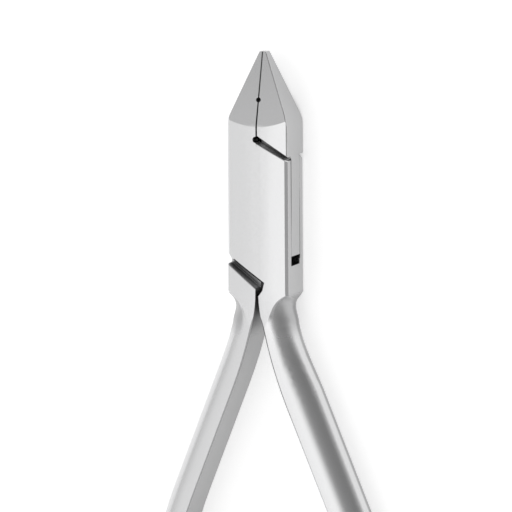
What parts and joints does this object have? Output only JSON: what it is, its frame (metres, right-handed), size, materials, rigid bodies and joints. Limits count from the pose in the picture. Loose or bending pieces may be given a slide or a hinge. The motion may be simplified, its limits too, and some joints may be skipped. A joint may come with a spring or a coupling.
{
  "type": "orthodontic pliers",
  "caption": "Hand pliers with a box joint, a short four-sided pyramid beak, a wire hole in the bite and curved handles flat on the inside, for bending clasp wire.",
  "frame": {"origin": "on the pivot axis, in the plane of the back face", "axes": "+Y toward the beak tips, +Z out of the front face, +X to the right seen from the front"},
  "size_m": [0.045, 0.13, 0.0076],
  "materials": {
    "satin_steel": "satin, fine bead-blasted grain"
  },
  "bodies": {
    "box_body": {"box_half": "satin_steel", "joint_pin": "satin_steel"},
    "tongue_body": {"tongue_half": "satin_steel"}
  },
  "joints": [
    {"name": "pliers_hinge", "type": "hinge", "parent": "box_body", "child": "tongue_body", "pos_m": [0, 0, 0.0038], "axis": [0, 0, -1], "range_deg": [0, 24]}
  ]
}
